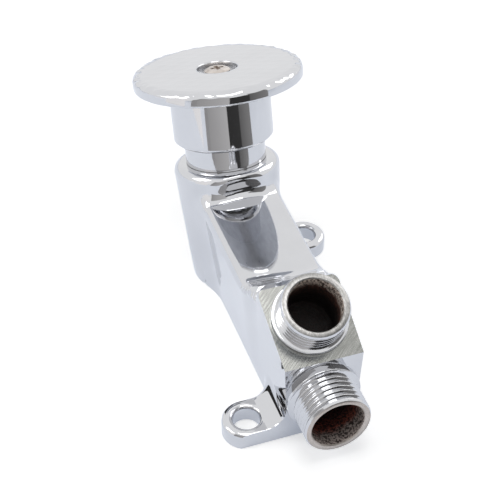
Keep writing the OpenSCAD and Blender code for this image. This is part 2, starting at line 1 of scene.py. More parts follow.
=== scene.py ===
# %% [markdown]
# Foot pedal tap valve, dressed for the render.
# The solids of the part are loaded as a fixed frame, and the pieces below are made to fit it.
# Each step first says what the piece is on the real valve, how it could be made and why it is made this way.

# %% Load the frame
import json
import math

import bmesh
import bpy
import numpy as np
from mathutils import Matrix, Vector


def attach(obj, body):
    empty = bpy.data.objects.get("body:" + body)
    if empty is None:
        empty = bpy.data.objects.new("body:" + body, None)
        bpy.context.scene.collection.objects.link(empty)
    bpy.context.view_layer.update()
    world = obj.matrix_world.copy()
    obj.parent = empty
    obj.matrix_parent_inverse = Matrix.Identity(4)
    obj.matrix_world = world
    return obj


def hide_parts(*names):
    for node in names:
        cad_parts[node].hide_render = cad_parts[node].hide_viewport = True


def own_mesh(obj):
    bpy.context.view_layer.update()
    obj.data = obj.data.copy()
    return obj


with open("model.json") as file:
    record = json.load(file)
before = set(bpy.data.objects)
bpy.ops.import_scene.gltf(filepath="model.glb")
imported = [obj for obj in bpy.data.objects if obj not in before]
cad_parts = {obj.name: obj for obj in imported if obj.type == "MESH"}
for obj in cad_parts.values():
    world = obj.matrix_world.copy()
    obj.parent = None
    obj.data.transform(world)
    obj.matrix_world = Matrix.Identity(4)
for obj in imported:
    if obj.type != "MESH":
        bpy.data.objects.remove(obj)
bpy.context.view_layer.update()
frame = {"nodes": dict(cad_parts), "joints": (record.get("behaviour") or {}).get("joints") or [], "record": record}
MM = 0.001
mounts = {mount["name"]: mount for mount in frame["record"]["mounts"]}
press = frame["joints"][0]
UP = -Vector(press["axis"]).normalized()
AXIS_FOOT = Vector((0, 35.5, 0)) * MM
LEAN = math.asin(UP.y)
print("nodes:", len(frame["nodes"]), "travel mm:", press["range_m"][1] / MM, "lean:", math.degrees(LEAN))

# %% [markdown]
# The camera stands where the photograph was taken: in front of the ports, a little to the left, well above.
# Its place was worked out by matching the outlines of the plate, the sleeve, the ports and the lugs.
# Three turns in a row would do to aim it, but the direction in which it looks is easier to read, so it is
# turned to track that direction, and its small roll is added.

# %% Camera
CAMERA_PLACE = Vector((-100.6, -264.6, 280.4)) * MM
CAMERA_AZIMUTH = math.radians(-19.35)
CAMERA_HEIGHT = math.radians(40.86)
CAMERA_ROLL = math.radians(0.29)
FOCAL_SHARE = 2.4
SENSOR_WIDTH = 36
CLIP_START = 0.01

back = Vector((math.sin(CAMERA_AZIMUTH) * math.cos(CAMERA_HEIGHT),
               -math.cos(CAMERA_AZIMUTH) * math.cos(CAMERA_HEIGHT),
               math.sin(CAMERA_HEIGHT)))
roll = Matrix.Rotation(CAMERA_ROLL, 3, "Z").to_quaternion()
camera_data = bpy.data.cameras.new("camera")
camera_data.sensor_width = SENSOR_WIDTH
camera_data.lens = FOCAL_SHARE * SENSOR_WIDTH
camera_data.clip_start = CLIP_START
camera = bpy.data.objects.new("camera", camera_data)
camera.rotation_mode = "QUATERNION"
camera.rotation_quaternion = (-back).to_track_quat("-Z", "Y") @ roll
camera.location = CAMERA_PLACE
bpy.context.scene.collection.objects.link(camera)
bpy.context.scene.camera = camera
print("camera lens mm:", camera_data.lens)

# %% [markdown]
# Most pieces of this valve are turned on a lathe, so most meshes are one outline spun about an axis.
# The helpers below finish a bmesh as a piece, spin an outline, and set a piece on the plunger's leaning axis.

# %% Helpers for making pieces
SEGMENTS = 128
WELD = 1e-7
ON_PLUNGER = Matrix.Translation(AXIS_FOOT) @ Matrix.Rotation(-LEAN, 4, "X")


def finish_piece(name, mesh_maker, body, materials, smooth_angle):
    """Turns a bmesh into a named piece that rides on a body, shaded smooth up to an angle."""
    bmesh.ops.remove_doubles(mesh_maker, verts=mesh_maker.verts, dist=WELD)
    bmesh.ops.recalc_face_normals(mesh_maker, faces=mesh_maker.faces)
    mesh = bpy.data.meshes.new(name)
    mesh_maker.to_mesh(mesh)
    mesh_maker.free()
    mesh.shade_smooth()
    mesh.set_sharp_from_angle(angle=math.radians(smooth_angle))
    piece = bpy.data.objects.new(name, mesh)
    bpy.context.scene.collection.objects.link(piece)
    for material in materials:
        mesh.materials.append(material)
    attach(piece, body)
    print(name, "faces:", len(mesh.polygons))
    return piece


def spin_outline(outline, closed=True, segments=SEGMENTS):
    """Spins (radius, height) points in millimetres about Z into a closed shell, in metres."""
    shell = bmesh.new()
    verts = [shell.verts.new((radius * MM, 0, height * MM)) for radius, height in outline]
    ends = list(zip(verts, verts[1:] + verts[:1])) if closed else list(zip(verts, verts[1:]))
    edges = [shell.edges.new(pair) for pair in ends]
    bmesh.ops.spin(shell, geom=verts + edges, axis=(0, 0, 1), cent=(0, 0, 0), angle=2 * math.pi,
                   steps=segments, use_merge=True)
    bmesh.ops.remove_doubles(shell, verts=shell.verts, dist=WELD)
    return shell


def arc(centre_r, centre_h, radius, start, end, steps):
    """Points of an arc in an outline, from one angle to another in degrees."""
    turns = [math.radians(start + (end - start) * step / steps) for step in range(steps + 1)]
    return [(centre_r + radius * math.cos(turn), centre_h + radius * math.sin(turn)) for turn in turns]


print("plunger axis:", tuple(round(value, 4) for value in ON_PLUNGER.to_3x3() @ Vector((0, 0, 1))))

# %% [markdown]
# Every finish is a Principled shader with a few noises on Object coordinates, so that the patterns stay on
# the pieces when they move. Painted pictures could do this too, but noises need no unwrapping and never
# repeat. Most of the helpers below add one node to a finish and hand back what comes out of it.

# %% Helpers for materials
NOISE_ROUGHNESS = 0.55
NOISE_LOW, NOISE_HIGH = 0.3, 0.7
WHITE = (1, 1, 1)


def new_material(name):
    """A material with its node tree, its shader and its Object coordinates."""
    material = bpy.data.materials.new(name)
    material.use_nodes = True
    tree = material.node_tree
    shader = tree.nodes["Principled BSDF"]
    place = tree.nodes.new("ShaderNodeTexCoord").outputs["Object"]
    return material, tree, shader, place


def add_noise(tree, vector, scale, detail=3):
    """The value of a cloudy noise, which mostly lies between NOISE_LOW and NOISE_HIGH."""
    noise = tree.nodes.new("ShaderNodeTexNoise")
    noise.inputs["Scale"].default_value = scale
    noise.inputs["Detail"].default_value = detail
    noise.inputs["Roughness"].default_value = NOISE_ROUGHNESS
    tree.links.new(vector, noise.inputs["Vector"])
    return noise.outputs["Fac"]


def add_ramp(tree, factor, stops):
    """A colour that runs through (place, colour) stops."""
    ramp = tree.nodes.new("ShaderNodeValToRGB")
    while len(ramp.color_ramp.elements) < len(stops):
        ramp.color_ramp.elements.new(0.5)
    for element, (place, colour) in zip(ramp.color_ramp.elements, stops):
        element.position = place
        element.color = (*colour, 1)
    tree.links.new(factor, ramp.inputs["Fac"])
    return ramp.outputs["Color"]


def add_range(tree, value, low, high, start=0, end=1):
    """Maps a value that runs from start to end between two limits."""
    span = tree.nodes.new("ShaderNodeMapRange")
    span.inputs["From Min"].default_value = start
    span.inputs["From Max"].default_value = end
    span.inputs["To Min"].default_value = low
    span.inputs["To Max"].default_value = high
    tree.links.new(value, span.inputs["Value"])
    return span.outputs["Result"]


def add_bump(tree, height, strength, distance, after=None):
    """A normal that is tilted by a height, on top of another bump where one is given."""
    bump = tree.nodes.new("ShaderNodeBump")
    bump.inputs["Strength"].default_value = strength
    bump.inputs["Distance"].default_value = distance
    tree.links.new(height, bump.inputs["Height"])
    if after is not None:
        tree.links.new(after, bump.inputs["Normal"])
    return bump.outputs["Normal"]


# %% Helpers for sums in materials
def add_math(tree, operation, first, second):
    """A sum of a socket and a socket or a number."""
    node = tree.nodes.new("ShaderNodeMath")
    node.operation = operation
    tree.links.new(first, node.inputs[0])
    if isinstance(second, (int, float)):
        node.inputs[1].default_value = second
    else:
        tree.links.new(second, node.inputs[1])
    return node.outputs["Value"]


def add_vector_math(tree, operation, first, second=None):
    """A sum of a vector socket and, where the operation takes one, a fixed vector."""
    node = tree.nodes.new("ShaderNodeVectorMath")
    node.operation = operation
    tree.links.new(first, node.inputs[0])
    if second is not None:
        node.inputs[1].default_value = second
    return node.outputs


def add_product(tree, first, second):
    """Two colours multiplied."""
    mix = tree.nodes.new("ShaderNodeMix")
    mix.data_type = "RGBA"
    mix.blend_type = "MULTIPLY"
    mix.inputs["Factor"].default_value = 1.0
    tree.links.new(first, mix.inputs["A"])
    tree.links.new(second, mix.inputs["B"])
    return mix.outputs["Result"]


def drift(tree, shader, noise, colours, roughs):
    """Lets a noise carry a shader's colour and its roughness, each between two limits."""
    colour = add_ramp(tree, noise, list(zip((NOISE_LOW, NOISE_HIGH), colours)))
    tree.links.new(colour, shader.inputs["Base Color"])
    tree.links.new(add_range(tree, noise, *roughs), shader.inputs["Roughness"])


# %% [markdown]
# The casting, the sleeve and the plate are chrome on polished brass. A metal of one even roughness would do
# for a new mirror, but the real one is neither perfectly clean nor perfectly even: faint smears change its
# tint and roughness, and the hand-polished casting has a swell that is too faint to see except in what it
# mirrors.

# %% Chrome
CHROME_TINT = (0.66, 0.665, 0.685)
SMEAR_SCALE, SMEAR_SHADE = 90, 0.96
SWELL_SCALE, CAST_SWELL = 160, 0.00001


def make_chrome(name, roughs, swell=0.0):
    """Plating on polished brass, with smears and, where it is asked for, a swell of that height."""
    material, tree, shader, place = new_material(name)
    shader.inputs["Metallic"].default_value = 1.0
    smeared = [SMEAR_SHADE * value for value in CHROME_TINT]
    drift(tree, shader, add_noise(tree, place, SMEAR_SCALE, detail=4), (smeared, CHROME_TINT), roughs)
    if swell:
        waves = add_noise(tree, place, SWELL_SCALE, detail=1)
        tree.links.new(add_bump(tree, waves, 1.0, swell), shader.inputs["Normal"])
    return material


chrome_cast = make_chrome("chrome_cast", (0.02, 0.07), CAST_SWELL)
chrome_turned = make_chrome("chrome_turned", (0.03, 0.08))
chrome_thread = make_chrome("chrome_thread", (0.08, 0.16))
print("chrome finishes:", chrome_cast.name, chrome_turned.name, chrome_thread.name)

# %% [markdown]
# Machined faces under the same chrome stay satin and show the marks of the cutter. An anisotropic shader
# could give their sheen, but not the marks themselves. So a noise is stretched along the cut: a Mapping
# node of the texture kind turns the pattern first and stretches it after, which keeps the streaks straight.

# %% Satin machined faces
MARK_SIZE = (0.0004, 0.008, 0.0004)
MARK_LOW, MARK_HIGH, MARK_DEEP = 0.36, 0.64, 0.00004
BLOTCH_SCALE, BLOTCH_SHADE = 220, (0.88, 0.88, 0.88)
FACE_TILT, MARK_TURN = math.radians(25), math.radians(-50)
RIM_ROUGHS = (0.30, 0.48)


def stretched(tree, place, size, turn):
    """Object coordinates in a turned frame, divided by the size of one mark along its three axes."""
    mapping = tree.nodes.new("ShaderNodeMapping")
    mapping.vector_type = "TEXTURE"
    mapping.inputs["Scale"].default_value = size
    mapping.inputs["Rotation"].default_value = turn
    tree.links.new(place, mapping.inputs["Vector"])
    return mapping.outputs["Vector"]


def make_satin(name, colours, roughs, turn=(0, 0, 0)):
    """A machined face: fine marks along the Y of a turned frame, over faint clouds."""
    material, tree, shader, place = new_material(name)
    shader.inputs["Metallic"].default_value = 1.0
    marks = add_noise(tree, stretched(tree, place, MARK_SIZE, turn), 1.0)
    blotch = add_noise(tree, place, BLOTCH_SCALE)
    streak = add_ramp(tree, marks, list(zip((MARK_LOW, MARK_HIGH), colours)))
    cloud = add_ramp(tree, blotch, [(NOISE_LOW, BLOTCH_SHADE), (NOISE_HIGH, WHITE)])
    tree.links.new(add_product(tree, streak, cloud), shader.inputs["Base Color"])
    tree.links.new(add_range(tree, marks, *roughs), shader.inputs["Roughness"])
    tree.links.new(add_bump(tree, marks, 0.5, MARK_DEEP), shader.inputs["Normal"])
    return material


along_marks = (Matrix.Rotation(FACE_TILT, 3, "X") @ Matrix.Rotation(MARK_TURN, 3, "Z")).to_euler()
satin_face = make_satin("satin_face", ((0.255, 0.258, 0.244), (0.335, 0.338, 0.322)), (0.15, 0.26),
                        along_marks)
outlet_rim = make_satin("outlet_rim", ((0.34, 0.335, 0.325), (0.54, 0.53, 0.515)), RIM_ROUGHS)
inlet_rim = make_satin("inlet_rim", ((0.50, 0.45, 0.41), (0.66, 0.60, 0.555)), RIM_ROUGHS)
print("materials so far, with those of the frame:", len(bpy.data.materials))

# %% [markdown]
# The works inside are plain brass, steel, rubber and nylon, and the underside and the pocket of the plate are
# chrome that is less polished; the underside's colour is also darkened, as painted shade under the plate. One
# colour each would look like plastic toys, so each has a fine grain that changes its colour and roughness a
# little. The metals share one grain, and the moulded pieces another.

# %% Other finishes
METAL_GRAIN = {"metallic": 1.0, "scale": 400, "strength": 0.3, "height": 0.00002}
MOULDED_GRAIN = {"metallic": 0.0, "scale": 600, "strength": 0.4, "height": 0.00003}


def make_grained(name, grain, colours, roughs):
    """A worked metal or a moulded plastic with a fine grain and a slightly uneven colour."""
    material, tree, shader, place = new_material(name)
    shader.inputs["Metallic"].default_value = grain["metallic"]
    cloud = add_noise(tree, place, grain["scale"], detail=4)
    drift(tree, shader, cloud, colours, roughs)
    tree.links.new(add_bump(tree, cloud, grain["strength"], grain["height"]), shader.inputs["Normal"])
    return material


brass = make_grained("brass", METAL_GRAIN, ((0.62, 0.42, 0.20), (0.76, 0.54, 0.28)), (0.22, 0.38))
pale_brass = make_grained("pale_brass", METAL_GRAIN, ((0.50, 0.45, 0.41), (0.74, 0.69, 0.65)), (0.25, 0.40))
spring_steel = make_grained("spring_steel", METAL_GRAIN,
                            ((0.50, 0.50, 0.51), (0.62, 0.62, 0.63)), (0.20, 0.32))
# The underside's colour is darker than the chrome's as painted shade under the plate; its roughness is that of
# less polished chrome.
rough_underside_painted_shade = make_grained("rough_underside_painted_shade", METAL_GRAIN,
                            ((0.46, 0.465, 0.485), (0.56, 0.565, 0.585)), (0.24, 0.36))
pocket_chrome = make_grained("pocket_chrome", METAL_GRAIN,
                             ((0.60, 0.605, 0.62), (0.70, 0.705, 0.72)), (0.24, 0.36))
rubber = make_grained("rubber", MOULDED_GRAIN, ((0.018, 0.018, 0.019), (0.035, 0.035, 0.036)), (0.55, 0.75))
nylon = make_grained("nylon", MOULDED_GRAIN, ((0.70, 0.68, 0.62), (0.80, 0.78, 0.72)), (0.35, 0.50))
print("materials so far, with those of the frame:", len(bpy.data.materials))

# %% [markdown]
# The casting is one brass body: a leaning boss, a straight leg, a block for the two ports and two fixing
# lugs. Every inner corner is a soft fillet, because molten brass doesn't like sharp corners, and the
# polisher rounds the outer ones. Box modelling with subdivision could follow this, but the fillet where a
# leaning cone meets a drafted bar is hard to hold even. So it is blocked out from plain solids, remeshed
# into one even skin, and that skin is then relaxed onto a blended distance field, which gives each meeting
# of two solids its own fillet.

# %% Sizes of the casting, in millimetres
BOSS_FOOT_R = 15.25
BOSS_TOP_R = 18.1
BOSS_H = 40.4
BOSS_EDGE = 3.0
BOSS_FLAT = 29.6
FLAT_EDGE = 1.2
LEG_HALF = 10.9
LEG_DRAFT = 0.048
LEG_TOP = 34.2
LEG_FALL = math.radians(2.5)
LEG_EDGE = 2.6
LEG_SWELL = 1.4
SWELL_REACH = 12.0
BLOCK_EDGE = 0.6
EDGE_GROWTH = 9.0
LEG_CROWN_R = 46.0
BLOCK_FRONT = -44.0
BLOCK_FRONT_H = 28.8
BLOCK_FACE = 26.0
BLOCK_BACK_SLOPE = math.radians(33)
BLOCK_SPARE = 3.0
LUG_T = 5.7
LUG_R = 7.6
LUG_HOLE_R = mounts["fixing_holes"]["dims"]["hole_r_mm"]
LUG_EDGE = 1.5
LUG_FILLET = 6.5
HOLE_EDGE = 1.0
FLOOR_SPARE = 3.0
FRONT_LUG = (-21.7, -37.4)
REAR_LUG = (25.5, 37.4)
WALL_BLEND = 24.0
TOP_FILLET = 3.0
BACK_FILLET = 1.5
face_low = Vector((0, BLOCK_FRONT, BLOCK_FRONT_H))
face_up = Vector((0, math.cos(FACE_TILT), math.sin(FACE_TILT)))
face_out = Vector((0, -math.sin(FACE_TILT), math.cos(FACE_TILT)))
face_high = face_low + BLOCK_FACE * face_up
back_out = Vector((0, math.sin(BLOCK_BACK_SLOPE), math.cos(BLOCK_BACK_SLOPE)))
print("slanted face from", tuple(face_low), "to", tuple(round(value, 2) for value in face_high))

# %% [markdown]
# A distance field gives, for any point, how far it lies outside a solid, with numbers below zero inside.
# Two such numbers can be joined with a hollow fillet or shared with a rounded edge, which is just what the
# mould and the polisher do. Each function below is one solid of the casting and takes many points at once.

# %% The blended distance field of the casting
def joined(a, b, radius):
    """Union of two solids with a hollow fillet of that radius."""
    deep = np.sqrt(np.maximum(radius - a, 0) ** 2 + np.maximum(radius - b, 0) ** 2)
    return np.maximum(radius, np.minimum(a, b)) - deep


def shared(a, b, radius):
    """Intersection of two solids with a rounded edge of that radius."""
    proud = np.sqrt(np.maximum(radius + a, 0) ** 2 + np.maximum(radius + b, 0) ** 2)
    return np.minimum(-radius, np.maximum(a, b)) + proud


def on_boss(p):
    """Height on the plunger's axis, distance behind it, and the boss's radius at that height."""
    behind = p[:, 1] - AXIS_FOOT.y / MM
    along = behind * UP.y + p[:, 2] * UP.z
    radius = BOSS_FOOT_R + (BOSS_TOP_R - BOSS_FOOT_R) * along / BOSS_H
    return along, behind * UP.z - p[:, 2] * UP.y, radius


def boss_field(p):
    """The leaning cone with its rounded top edge, and the upright flat on its front."""
    along, rear, radius = on_boss(p)
    cone = shared(np.hypot(p[:, 0], rear) - radius, along - BOSS_H, BOSS_EDGE)
    return shared(cone, BOSS_FLAT - p[:, 1], FLAT_EDGE)


def wall_half(p):
    """Half the width between the drafted walls, which swell a little more along the leg than at the block."""
    share = np.clip((p[:, 1] - face_high.y) / SWELL_REACH, 0, 1)
    swell = LEG_SWELL * share * share * (3 - 2 * share) * np.clip(p[:, 2] / LEG_TOP, 0, 1)
    return LEG_HALF + LEG_DRAFT * p[:, 2] + swell


def wall_field(p):
    """The bar between the two drafted side walls that the leg and the block share."""
    ends = np.maximum(BLOCK_FRONT - BLOCK_SPARE - p[:, 1], p[:, 1] - AXIS_FOOT.y / MM)
    return np.maximum(np.abs(p[:, 0]) - wall_half(p), ends)


def web_field(p):
    """The webs that lead the walls into the boss: at each level, what a circle tangent to both leaves."""
    _, rear, radius = on_boss(p)
    side = np.abs(p[:, 0])
    middle_x = wall_half(p) + WALL_BLEND
    reach = radius + WALL_BLEND
    middle_y = -np.sqrt(np.maximum(reach ** 2 - middle_x ** 2, 0))
    hollow = WALL_BLEND - np.hypot(side - middle_x, rear - middle_y)
    return np.maximum(np.maximum(hollow, middle_y - rear), (rear * middle_x - middle_y * side) / reach)


def top_field(p):
    """What lies below the arched leg and the port block, with a hollow fillet between the two."""
    level = (p[:, 2] - LEG_TOP) * math.cos(LEG_FALL) - p[:, 1] * math.sin(LEG_FALL)
    leg_top = np.hypot(p[:, 0], level + LEG_CROWN_R) - LEG_CROWN_R
    slant = (p - np.array(face_low)) @ np.array(face_out) - BLOCK_SPARE
    rear = (p - np.array(face_high)) @ np.array(back_out)
    return joined(leg_top, np.maximum(slant, rear), BACK_FILLET)


def lug_field(p, hole, side):
    """A tab with a round end, rounded along its upper edge."""
    reach = np.clip(p[:, 0] * side, 0, abs(hole[0])) * side
    outline = np.hypot(p[:, 0] - reach, p[:, 1] - hole[1]) - LUG_R
    return shared(outline, p[:, 2] - LUG_T, LUG_EDGE)


def casting_field(p):
    """The whole casting: boss, walls and top, then the lugs with their fillets and soft-edged holes."""
    boss = boss_field(p)
    walls = np.minimum(np.minimum(wall_field(p), boss), web_field(p))
    top = joined(top_field(p), boss, TOP_FILLET)
    edge = BLOCK_EDGE + (LEG_EDGE - BLOCK_EDGE) * np.clip((p[:, 1] - face_high.y) / EDGE_GROWTH, 0, 1)
    body = np.minimum(boss, shared(walls, top, edge))
    for hole, side in ((FRONT_LUG, -1), (REAR_LUG, 1)):
        body = joined(body, lug_field(p, hole, side), LUG_FILLET)
    for hole in (FRONT_LUG, REAR_LUG):
        bore = LUG_HOLE_R - np.hypot(p[:, 0] - hole[0], p[:, 1] - hole[1])
        body = shared(body, bore, HOLE_EDGE)
    return np.maximum(body, -FLOOR_SPARE - p[:, 2])


probe = np.array([[0.0, 10.0, LEG_TOP], [0.0, AXIS_FOOT.y / MM, 0.0]])
print("field on the leg's top and inside the boss:", casting_field(probe).round(2))

# %% [markdown]
# The blank is what a pattern maker would glue up: a cone, two bars and two tabs with round ends. A union of
# the five would keep their long thin faces, so a voxel remesh turns the pile into one closed skin of even
# faces. The lug holes are drilled before a second remesh, so that the skin already has its holes when it is
# relaxed.

# %% Block out the casting from plain solids
VOXEL = 0.55
PILLAR_SEGMENTS = 96
BOSS_SPARE = 8.0
BAR_END = 40.0
BAR_LOWER = 1.0
REMESH = ("REMESH", {"mode": "VOXEL", "voxel_size": VOXEL})


def add_box(shell, low, high):
    """A box between two corners."""
    size = Vector(high) - Vector(low)
    place = Matrix.Translation((Vector(low) + Vector(high)) / 2) @ Matrix.Diagonal((*size, 1))
    bmesh.ops.create_cube(shell, size=1, matrix=place)


def add_pillar(shell, radius_low, radius_high, low, high, place):
    """A cone or cylinder that stands between two heights of a place."""
    upright = Matrix.Translation((0, 0, (low + high) / 2))
    bmesh.ops.create_cone(shell, cap_ends=True, segments=PILLAR_SEGMENTS, radius1=radius_low,
                          radius2=radius_high, depth=high - low, matrix=place @ upright)


def to_object(shell, name):
    """A bmesh as a bare object, for operators that need one."""
    mesh = bpy.data.meshes.new(name)
    shell.to_mesh(mesh)
    shell.free()
    made = bpy.data.objects.new(name, mesh)
    bpy.context.scene.collection.objects.link(made)
    return made


def bake(made, *tools):
    """Adds (kind, settings) modifiers to an object and applies them."""
    for kind, settings in tools:
        tool = made.modifiers.new(kind.lower(), kind)
        for key, value in settings.items():
            setattr(tool, key, value)
    graph = bpy.context.evaluated_depsgraph_get()
    graph.update()
    baked = bpy.data.meshes.new_from_object(made.evaluated_get(graph))
    made.modifiers.clear()
    made.data = baked
    return made


blank = bmesh.new()
drill = bmesh.new()
bar_low = (-LEG_HALF, BLOCK_FRONT - BLOCK_SPARE, -FLOOR_SPARE)
axis_mm = Matrix.Translation(AXIS_FOOT / MM) @ Matrix.Rotation(-LEAN, 4, "X")
add_pillar(blank, BOSS_FOOT_R, BOSS_TOP_R, -BOSS_SPARE, BOSS_H, axis_mm)
add_box(blank, bar_low, (LEG_HALF, BAR_END, LEG_TOP - BAR_LOWER))
add_box(blank, bar_low, (LEG_HALF, face_high.y, face_high.z))
for hole in (FRONT_LUG, REAR_LUG):
    at_hole = Matrix.Translation((*hole, 0))
    tab_low = (min(hole[0], 0), hole[1] - LUG_R, -FLOOR_SPARE)
    tab_high = (max(hole[0], 0), hole[1] + LUG_R, LUG_T)
    add_pillar(blank, LUG_R, LUG_R, -FLOOR_SPARE, LUG_T, at_hole)
    add_box(blank, tab_low, tab_high)
    add_pillar(drill, LUG_HOLE_R, LUG_HOLE_R, -3 * FLOOR_SPARE, 2 * LUG_T, at_hole)
casting = bake(to_object(blank, "casting_blank"), REMESH)
drill = to_object(drill, "lug_drill")
bake(casting, ("BOOLEAN", {"operation": "DIFFERENCE", "object": drill, "solver": "EXACT"}), REMESH)
bpy.data.objects.remove(drill)
print("even skin, faces:", len(casting.data.polygons))

# %% [markdown]
# Polishing. A subdivision would only round the blank. Here every point of the skin slides along the slope
# of the field until it lies on the surface, with some smoothing in between to keep the faces even.

# %% Relax the skin onto the field
FIELD_ROUNDS, FIELD_STEP, LEAST_SLOPE = 4, 0.02, 0.2
RELAX_ROUNDS, RELAX_SHARE = 4, 0.5


def onto_field(points, field):
    """Moves points along the field's slope until they lie on its surface."""
    for _ in range(FIELD_ROUNDS):
        value = field(points)
        slope = np.stack([field(points + FIELD_STEP * side) - field(points - FIELD_STEP * side)
                          for side in np.eye(3)], axis=1) / (2 * FIELD_STEP)
        size = np.maximum((slope ** 2).sum(axis=1), LEAST_SLOPE)
        move = slope * (value / size)[:, None]
        points = points - np.clip(move, -2 * VOXEL, 2 * VOXEL)
    return points


def settle(shell, field):
    """Moves the vertices of a shell onto a field's surface and gives back their places."""
    points = onto_field(np.array([vert.co[:] for vert in shell.verts]), field)
    for vert, point in zip(shell.verts, points):
        vert.co = point
    return points


skin = bmesh.new()
skin.from_mesh(casting.data)
bpy.data.objects.remove(casting)
for _ in range(RELAX_ROUNDS):
    settle(skin, casting_field)
    bmesh.ops.smooth_vert(skin, verts=skin.verts, factor=RELAX_SHARE,
                          use_axis_x=True, use_axis_y=True, use_axis_z=True)
settled = settle(skin, casting_field)
print("largest distance from the field, mm:", np.abs(casting_field(settled)).max().round(3))

# %% [markdown]
# After casting, the foundry mills three flats: the floor face, the slanted face for the outlet and the front
# face for the inlet. A boolean with a big box would do, but a bisect is the milling cut itself: it slices the
# skin along a plane and drops what is outside, and a fill that knows about holes caps the cut.

# %% Mill the flats
CUT_WELD = 1e-5
CASTING_SMOOTH = 40
CHROME, SATIN = 0, 1


def mill(shell, point, normal, material_index):
    """Cuts away everything outside a plane and caps the cut."""
    everything = shell.verts[:] + shell.edges[:] + shell.faces[:]
    cut = bmesh.ops.bisect_plane(shell, geom=everything, dist=CUT_WELD, plane_co=point, plane_no=normal,
                                 clear_outer=True)
    rim = [item for item in cut["geom_cut"] if isinstance(item, bmesh.types.BMEdge)]
    caps = bmesh.ops.triangle_fill(shell, use_beauty=True, edges=rim, normal=normal)["geom"]
    for face in caps:
        if isinstance(face, bmesh.types.BMFace):
            face.material_index = material_index


mill(skin, Vector((0, 0, 0)), Vector((0, 0, -1)), SATIN)
mill(skin, Vector((0, BLOCK_FRONT, 0)), Vector((0, -1, 0)), CHROME)
mill(skin, face_low, face_out, SATIN)
bmesh.ops.scale(skin, verts=skin.verts, vec=(MM, MM, MM))
body_casting = finish_piece("body_casting", skin, "valve",
                            [chrome_cast, satin_face], CASTING_SMOOTH)
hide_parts("body")

# %% [markdown]
# The ports are pipe threads, cast in one with the body and cut on a lathe. A screw modifier could wind a
# thread, but it leaves open ends. Here a plain spigot is spun with fine rows, and its rows are then pushed
# in and out along a helix, which is what the threading tool does. The first half turn stays plain and
# tapers to the mouth.

# %% Sizes of the threaded ports, in millimetres
THREAD_R = 10.475
THREAD_PITCH = 1.814
THREAD_DEEP = 1.05
THREAD_ROWS = 16
THREAD_SEGMENTS = 192
RIDGE_SHARP = 0.4
RUN_OUT = 0.7
PORT_BORE_R = 8.25
PORT_CHAMFER = 0.5
CHAMFER_STEPS = 4
LEAD_IN = 0.9
MOUTH_EDGE = 0.35
SHOULDER_R = 11.7
SHOULDER_H = 1.4
SHOULDER_EDGE = 0.35
SUNK = 1.0
OUTLET_H = 10.2
OUTLET_UP = 14.1
OUTLET_DEPTH = 18.0
INLET_L = 12.6
INLET_Z = 14.7
INLET_DEPTH = 18.6
outlet_mouth = face_low + OUTLET_UP * face_up + OUTLET_H * face_out
inlet_mouth = Vector((0, BLOCK_FRONT - INLET_L, INLET_Z))
AT_OUTLET = Matrix.Translation(outlet_mouth * MM) @ Matrix.Rotation(FACE_TILT, 4, "X")
AT_INLET = Matrix.Translation(inlet_mouth * MM) @ Matrix.Rotation(math.pi / 2, 4, "X")
print("mouths at", tuple(round(value, 2) for value in outlet_mouth), "and", tuple(inlet_mouth))

# %% The threaded spigot
NEAR = 0.01
MOUTH_NEAR = 0.001
RIM, SHOULDER = 1, 2


def thread_ridge(turn, height):
    """0 at the root of the thread and 1 at its crest, rounded at both."""
    phase = (height / THREAD_PITCH - turn / (2 * math.pi)) % 1.0
    slope = 1 - abs(2 * phase - 1)
    return RIDGE_SHARP * slope + (1 - RIDGE_SHARP) * slope * slope * (3 - 2 * slope)


def cut_thread(shell, foot):
    """Pushes the side of a plain spigot in along a helix, with a run-out at its foot and a plain lead-in."""
    for vert in shell.verts:
        height = vert.co.z / MM
        radius = math.hypot(vert.co.x, vert.co.y) / MM
        if radius < THREAD_R - PORT_CHAMFER + NEAR or height < foot - NEAR or radius > THREAD_R + NEAR:
            continue
        ridge = thread_ridge(math.atan2(vert.co.y, vert.co.x), height) if height > foot + RUN_OUT else 0.0
        wanted = THREAD_R - THREAD_DEEP * (1 - ridge)
        if height > -LEAD_IN:
            wanted = THREAD_R - PORT_CHAMFER * (1 + height / LEAD_IN)
        vert.co.x *= wanted / radius
        vert.co.y *= wanted / radius


def port_shell(length):
    """A threaded spigot with its mouth at height 0 and a shoulder that is sunk a little into the block."""
    foot = SHOULDER_H - length
    rows = round((length - SHOULDER_H - PORT_CHAMFER) / THREAD_PITCH * THREAD_ROWS)
    outline = [(0, -length - SUNK), (SHOULDER_R, -length - SUNK), (SHOULDER_R, foot - SHOULDER_EDGE)]
    outline += arc(SHOULDER_R - SHOULDER_EDGE, foot - SHOULDER_EDGE, SHOULDER_EDGE, 0, 90, 3)[1:]
    outline += [(THREAD_R, foot + (-PORT_CHAMFER - foot) * row / rows) for row in range(rows + 1)]
    for step in range(1, CHAMFER_STEPS + 1):
        share = step / CHAMFER_STEPS
        outline.append((THREAD_R - PORT_CHAMFER * share, -PORT_CHAMFER * (1 - share)))
    shell = spin_outline(outline + [(0, 0)], closed=False, segments=THREAD_SEGMENTS)
    cut_thread(shell, foot)
    bmesh.ops.recalc_face_normals(shell, faces=shell.faces)
    for face in shell.faces:
        height = face.calc_center_median().z / MM
        if height > -MOUTH_NEAR:
            face.material_index = RIM
        elif height < foot:
            face.material_index = SHOULDER
    print("spigot mm:", length, "rows of thread:", rows)
    return shell
